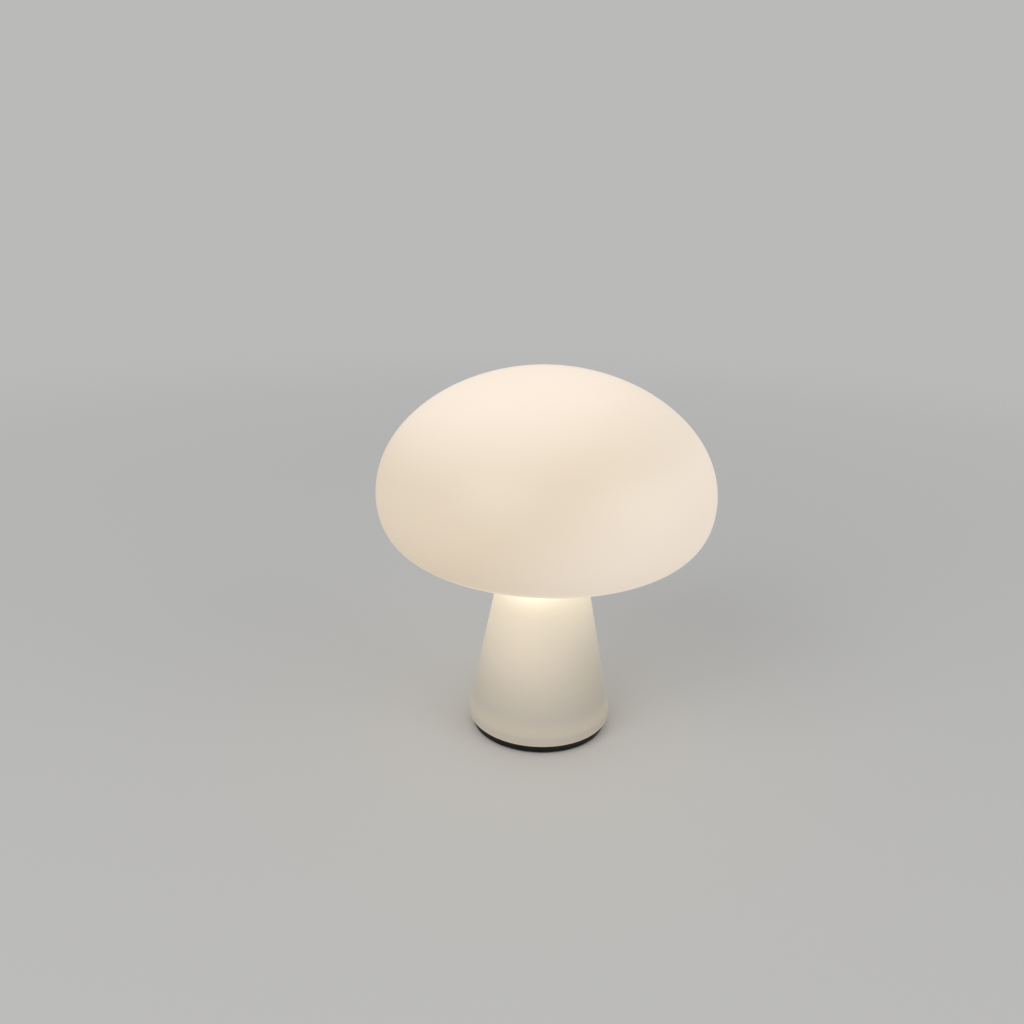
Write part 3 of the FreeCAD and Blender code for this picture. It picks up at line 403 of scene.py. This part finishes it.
steatite = Finish("steatite", IOR=1.55)
speck = steatite.step(steatite.clouds(0.0006), 0.62, 0.7)
steatite.feed("Base Color", steatite.mix(speck, (0.76, 0.73, 0.67), (0.50, 0.46, 0.39)))
steatite.feed("Roughness", 0.5 + 0.2 * steatite.clouds(0.002))
steatite.relief(steatite.clouds(0.0005), depth=0.00004)
wear(["contact_carrier"], steatite)


# Leads: two stranded wires in soft silicone, brown for live and blue for neutral, that run from the block
# up the tube to the lampholder. The silicone is satin, with chalk on it from the reel.
def silicone(name, colour, chalky):
    """Silicone sleeve: its own colour, duller and chalky in patches, over a very fine grain."""
    sleeve = Finish(name, IOR=1.42)
    chalk = sleeve.step(sleeve.clouds(0.004, detail=4.0), 0.45, 0.8)
    sleeve.feed("Base Color", sleeve.mix(chalk, colour, chalky))
    sleeve.feed("Roughness", 0.42 + 0.3 * chalk)
    sleeve.relief(sleeve.clouds(0.0005), depth=0.00001)
    return sleeve


wear(["lead_live"], silicone("brown_silicone", (0.13, 0.055, 0.025), (0.19, 0.10, 0.065)))
wear(["lead_neutral"], silicone("blue_silicone", (0.03, 0.09, 0.27), (0.08, 0.15, 0.33)))


# Leaf springs: three strips of blued spring steel, screwed to the deck, that grip the inside of the foot
# of the glass. The blue of the tempering runs a little to violet and straw in soft patches.
spring_steel = plated(
    "blued_spring_steel", (0.17, 0.20, 0.27), (0.27, 0.24, 0.24), smoothest=0.26, patch=0.015)
wear(["glass_clip_front", "glass_clip_right", "glass_clip_left"], spring_steel)


# Bulb: a nickel-plated screw cap with a black glass insulator, a bell-shaped white body over the driver
# board, and a frosted globe over a ring of light sources on an aluminium board. It is lit.
GLOW_RISE = 0.4

nickel = plated("nickel_plate", (0.66, 0.64, 0.60), (0.74, 0.71, 0.65), smoothest=0.18)
wear(["bulb_contact", "bulb_cap"], nickel)

vitrite = Finish("black_vitrite", IOR=1.52)
vitrite.feed("Base Color", vitrite.mix(vitrite.clouds(0.003), (0.008, 0.008, 0.010), (0.022, 0.020, 0.026)))
vitrite.feed("Roughness", 0.08 + 0.12 * vitrite.clouds(0.002))
wear(["bulb_insulator"], vitrite)

wear(["bulb_collar"], moulded("bulb_white", (0.78, 0.77, 0.74), (0.83, 0.82, 0.79), smoothest=0.3))

frost = Finish("frosted_globe", IOR=1.49, Emission_Strength=1.0)
globe_low, globe_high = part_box("bulb_globe")
globe_height = frost.axes()[2]
full_glow = globe_low.z + GLOW_RISE * (globe_high.z - globe_low.z)
globe_glow = frost.step(globe_height, globe_low.z, full_glow)
frost.feed("Emission Color", frost.mix(globe_glow, (0.50, 0.36, 0.20), (0.92, 0.80, 0.58)))
frost.feed("Base Color", frost.mix(frost.clouds(0.01), (0.40, 0.38, 0.34), (0.46, 0.44, 0.40)))
frost.feed("Roughness", 0.48 + 0.12 * frost.clouds(0.002))
frost.relief(frost.clouds(0.0008), depth=0.00002)
wear(["bulb_globe"], frost)


# Light sources and their board: yellow phosphor in white frames, eight in a ring on an aluminium disc that
# is printed white, with a copper track from one to the next.
CHIP_RING = 0.0115
CHIP_COUNT = 8
TRACK_EDGE = (0.0004, 0.0006)
DOT_EDGE = (0.0009, 0.0011)


def chip_grid(finish):
    """Distance of a point from the ring of chips and from the next chip's middle, along the ring."""
    x, y = finish.axes()[:2]
    turn = finish.work_out("ARCTAN2", y, x) * (CHIP_COUNT / (2.0 * math.pi))
    beside = finish.work_out("WRAP", turn, 0.5, -0.5) * (2.0 * math.pi * CHIP_RING / CHIP_COUNT)
    return reach(x, y) - CHIP_RING, beside


board_print = Finish("printed_board", IOR=1.5)
off_track = board_print.work_out("ABSOLUTE", chip_grid(board_print)[0])
track = 1.0 - board_print.step(off_track, *TRACK_EDGE)
board_white = board_print.mix(board_print.clouds(0.002), (0.76, 0.76, 0.74), (0.82, 0.82, 0.80))
board_print.feed("Base Color", board_print.mix(track * 0.8, board_white, (0.62, 0.53, 0.40)))
board_print.feed("Roughness", 0.35 + 0.15 * board_print.clouds(0.003))
board_print.relief(track, depth=0.00005)
wear(["led_board"], board_print)

phosphor = Finish("phosphor_chips", IOR=1.5)
dot = 1.0 - phosphor.step(reach(*chip_grid(phosphor)), *DOT_EDGE)
frame_white = phosphor.mix(phosphor.clouds(0.001), (0.78, 0.77, 0.72), (0.84, 0.83, 0.79))
phosphor.feed("Base Color", phosphor.mix(dot, frame_white, (0.85, 0.62, 0.10)))
phosphor.feed("Roughness", 0.45 - 0.2 * dot)
wear(["led_chips"], phosphor)


# Driver board and capacitor: green solder mask over copper tracks, and a small can in a dark sleeve with
# a pale stripe down it and a bare aluminium top.
TRACK_PATTERN = {"Scale": 260.0, "Distortion": 2.2, "Detail": 1.0}
STRIPE_FROM, STRIPE_TO = -2.2, -1.2
STRIPE_SOFTNESS = 0.05
CAN_BARE_TOP = 0.0004

green = Finish("green_board", IOR=1.5)
tracks = green.node("TexWave", {"Vector": green.place(), **TRACK_PATTERN}, bands_direction="X")
copper = green.step(tracks.output("Fac"), 0.62, 0.72)
green.feed("Base Color", green.mix(copper, (0.010, 0.085, 0.035), (0.035, 0.20, 0.085)))
green.feed("Roughness", 0.24 + 0.12 * copper)
green.relief(copper, depth=0.00004)
wear(["driver_board"], green)

can_low, can_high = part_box("driver_capacitor")
can_middle = (can_low + can_high) / 2
can = Finish("capacitor_can", IOR=1.5)
can_x, can_y, can_z = can.axes()
can_angle = can.work_out("ARCTAN2", can_y - can_middle.y, can_x - can_middle.x)
stripe = (can.step(can_angle, STRIPE_FROM, STRIPE_FROM + STRIPE_SOFTNESS)
          * (1.0 - can.step(can_angle, STRIPE_TO - STRIPE_SOFTNESS, STRIPE_TO)))
bare = can.step(can_z, can_high.z - CAN_BARE_TOP, can_high.z - CAN_BARE_TOP / 2)
sleeve_colour = can.mix(stripe, (0.018, 0.022, 0.045), (0.42, 0.43, 0.45))
can.feed("Base Color", can.mix(bare, sleeve_colour, (0.62, 0.62, 0.62)))
can.feed("Metallic", bare)
can.feed("Roughness", 0.26 + 0.2 * can.clouds(0.002))
wear(["driver_capacitor"], can)


# Glass: cap, neck and stem blown in one piece of opal glass, 3.6 mm thick, etched satin, ground flat at the
# foot. Inside the foot the wall turns in to a lip, which the leaf springs hold.
CAP_RADIUS = 0.120
GLASS_WALL = 0.0036
GLASS_FOOT = 0.0055
NECK_CORNER = 0.1329
EQUATOR = 0.1842
CROWN = 0.2714
FOOT_RADIUS = 0.054
NECK_RADIUS = 0.0299
NECK_FILLET = 0.010
FOOT_ROUND = 0.0045
LIP_REACH = 0.0037
LIP_HEIGHT = 0.004
LIP_EDGE = 0.0012
GLASS_SIDES = 192
STEM_ROWS = 24

# Fullness of the blown curves, as shares of the radius, height or depth of the curve itself.
CROWN_FLATNESS = 0.505
SHOULDER_FULLNESS = 0.566
BELLY_TURN = 0.632
BELLY_FLATNESS = 0.718


def bezier(start, start_pull, end_pull, end, count):
    """Cubic curve: (1-t)^3 start + 3(1-t)^2 t start_pull + 3(1-t) t^2 end_pull + t^3 end."""
    t = np.linspace(0.0, 1.0, count)[:, None]
    poles = [np.array(pole) for pole in (start, start_pull, end_pull, end)]
    return ((1 - t) ** 3 * poles[0] + 3 * (1 - t) ** 2 * t * poles[1]
            + 3 * (1 - t) * t ** 2 * poles[2] + t ** 3 * poles[3])


def arc(centre, radius, start, end, count):
    """Arc: centre + radius (cos a, sin a), with a from start to end."""
    a = np.linspace(start, end, count)
    return np.stack([centre[0] + radius * np.cos(a), centre[1] + radius * np.sin(a)], axis=-1)


def cap_outline(radius, top, low, neck, count):
    """Dome and belly of the cap from the axis down to the neck, as two cubic curves that meet level."""
    rise, drop, run = top - EQUATOR, EQUATOR - low, radius - neck
    shoulder = (radius, EQUATOR + SHOULDER_FULLNESS * rise)
    waist = (radius, EQUATOR - BELLY_TURN * drop)
    dome = bezier((0, top), (CROWN_FLATNESS * radius, top), shoulder, (radius, EQUATOR), count)
    belly = bezier((radius, EQUATOR), waist, (neck + BELLY_FLATNESS * run, low), (neck, low), count)
    return np.vstack([dome, belly[1:]])


def glass_outline():
    """The wall's section, from the top of the crown down the outside, round the foot and back up inside."""
    lean = math.atan2(FOOT_RADIUS - NECK_RADIUS, NECK_CORNER - GLASS_FOOT)
    out = np.array([math.cos(lean), math.sin(lean)])

    def stem_radius(height):
        return FOOT_RADIUS - (height - GLASS_FOOT) * math.tan(lean)

    neck_height = NECK_CORNER - NECK_FILLET
    neck = np.array([stem_radius(neck_height) + NECK_FILLET / math.cos(lean), neck_height])
    foot_height = GLASS_FOOT + FOOT_ROUND
    foot = np.array([stem_radius(foot_height) - FOOT_ROUND / math.cos(lean), foot_height])
    lip_top = GLASS_FOOT + LIP_HEIGHT
    lip = stem_radius(lip_top) - GLASS_WALL / math.cos(lean) - LIP_REACH
    ledge_round = (LIP_REACH - LIP_EDGE) / (1.0 / math.cos(lean) + math.tan(lean))
    ledge = np.array([lip + LIP_EDGE, lip_top + ledge_round])
    lip_bevel = LIP_EDGE / 4
    bevel = (lip + lip_bevel, GLASS_FOOT + lip_bevel)
    edge = (lip + LIP_EDGE, lip_top - LIP_EDGE)
    side, down, back, above = lean, -math.pi / 2, math.pi + lean, math.pi / 2
    inner_neck = NECK_FILLET + GLASS_WALL
    inner_corner = NECK_CORNER + GLASS_WALL
    outer_cap = cap_outline(CAP_RADIUS, CROWN, NECK_CORNER, neck[0], count=72)
    inner_cap = cap_outline(CAP_RADIUS - GLASS_WALL, CROWN - GLASS_WALL, inner_corner, neck[0], count=40)
    stem_top, stem_foot = neck - out * NECK_FILLET, foot + out * FOOT_ROUND
    inner_top, inner_foot = neck - out * inner_neck, ledge + out * ledge_round
    share = np.linspace(0.0, 1.0, STEM_ROWS + 2)[1:-1, None]
    return np.vstack([
        outer_cap[:-1],
        arc(neck, NECK_FILLET, above, back, count=18),
        stem_top + (stem_foot - stem_top) * share,
        arc(foot, FOOT_ROUND, side, down, count=14),
        arc(bevel, lip_bevel, down, -math.pi, count=4),
        arc(edge, LIP_EDGE, math.pi, above, count=6),
        arc(ledge, ledge_round, down, side, count=8)[1:],
        inner_foot + (inner_top - inner_foot) * share,
        arc(neck, inner_neck, back, above, count=14)[:-1],
        inner_cap[::-1],
    ])


def turned_skin(name, outline, sides):
    """Turned surface: the outline's points (r, z) go round the axis as rows of points (r cos a, r sin a, z).
    It starts and ends on the axis, at two poles."""
    rows = outline[1:-1]
    points = rows_round(rows[:, :1], rows[:, 1:], one_turn(sides))
    return closed_skin(name, points, sides, poles=(outline[0, 1], outline[-1, 1]))


opal = Finish("satin_opal_glass", IOR=1.5, Emission_Strength=1.0, Sheen_Weight=1.0, Sheen_Roughness=0.12)
across, depth, height = opal.axes()


# Light in the stem, painted into the glass as glow: it fades evenly down the wall, with a painted hot spot
# in front under the cap and a soft streak below that. The thick foot carries a paler band of painted light,
# and some light leaks out at its ground edge. A bell is given by its middle and its width, an edge by where
# it starts and ends.
FADE_LEVEL = 0.12
FADE_TOP = 0.125
FADE_LENGTH = 0.0348
SPOT_ACROSS = (-0.0087, 0.0196)
SPOT_UP = (0.124, 0.0116)
SPOT_BACK_EDGE = (-0.008, 0.016)
SPOT_BELLY_EDGE = (0.034, 0.052)
STREAK_ACROSS = (-0.0132, 0.0439)
STREAK_UP = (0.075, 0.040)
BAND_LOW_EDGE = (0.0115, 0.0155)
BAND_HIGH_EDGE = (0.017, 0.028)
LEAK_LENGTH = 0.0019


def bell(value, middle, width):
    """Bell curve: e to the power of minus the square of (value - middle) / width."""
    return opal.work_out("EXPONENT", ((value - middle) / width) ** 2 * -1.0)


fade_height = opal.work_out("MINIMUM", height, FADE_TOP)
fading = opal.work_out("EXPONENT", (fade_height - FADE_LEVEL) / FADE_LENGTH)
in_front = 1.0 - opal.step(depth, *SPOT_BACK_EDGE)
on_stem = 1.0 - opal.step(reach(across, depth), *SPOT_BELLY_EDGE)
spot = bell(across, *SPOT_ACROSS) * bell(height, *SPOT_UP) * in_front * on_stem
streak = bell(across, *STREAK_ACROSS) * bell(height, *STREAK_UP)
band = opal.step(height, *BAND_LOW_EDGE) * (1.0 - opal.step(height, *BAND_HIGH_EDGE))
leak = opal.work_out("EXPONENT", (GLASS_FOOT - height) / LEAK_LENGTH)
stem_glow = (0.0, 0.0, 0.0)
for share, light in (
    (fading, (0.620, 0.545, 0.405)),
    (spot, (0.680, 0.560, 0.430)),
    (streak, (0.160, 0.120, 0.086)),
    (band, (0.066, 0.046, 0.028)),
    (leak, (0.520, 0.385, 0.235)),
):
    stem_glow = opal.add(share, stem_glow, light)


# Light in the cap, painted into the glass as glow: even, with a brighter crown that leans to the left, and
# a paler patch of painted light low on the right that runs on round the back.
CROWN_LEAN = 0.124
CROWN_EDGE = (0.215, 0.270)
PATCH_LEAN = 1.11
PATCH_LEVEL = 0.19
PATCH_RUNS_ON = 0.07
PATCH_EDGE = (-0.030, 0.082)
STEM_TO_CAP = (0.126, 0.150)

crown = opal.step(height - CROWN_LEAN * across, *CROWN_EDGE)
behind = opal.step(depth, 0.0, CAP_RADIUS)
patch_place = across + PATCH_RUNS_ON * behind - PATCH_LEAN * (height - PATCH_LEVEL)
patch = opal.step(patch_place, *PATCH_EDGE)
cap_glow = (0.362, 0.276, 0.186)
for share, light in ((crown, (0.193, 0.178, 0.190)), (patch, (0.116, 0.123, 0.141))):
    cap_glow = opal.add(share, cap_glow, light)
opal.feed("Emission Color", opal.mix(opal.step(height, *STEM_TO_CAP), stem_glow, cap_glow))
opal.feed("Base Color", opal.mix(opal.clouds(0.05), (0.490, 0.455, 0.392), (0.510, 0.475, 0.410)))
opal.feed("Roughness", 0.40 + 0.08 * opal.clouds(0.004))
glass = turned_skin("opal_glass_body", glass_outline(), GLASS_SIDES)
put_on(glass, opal, "glass", "glass_body")
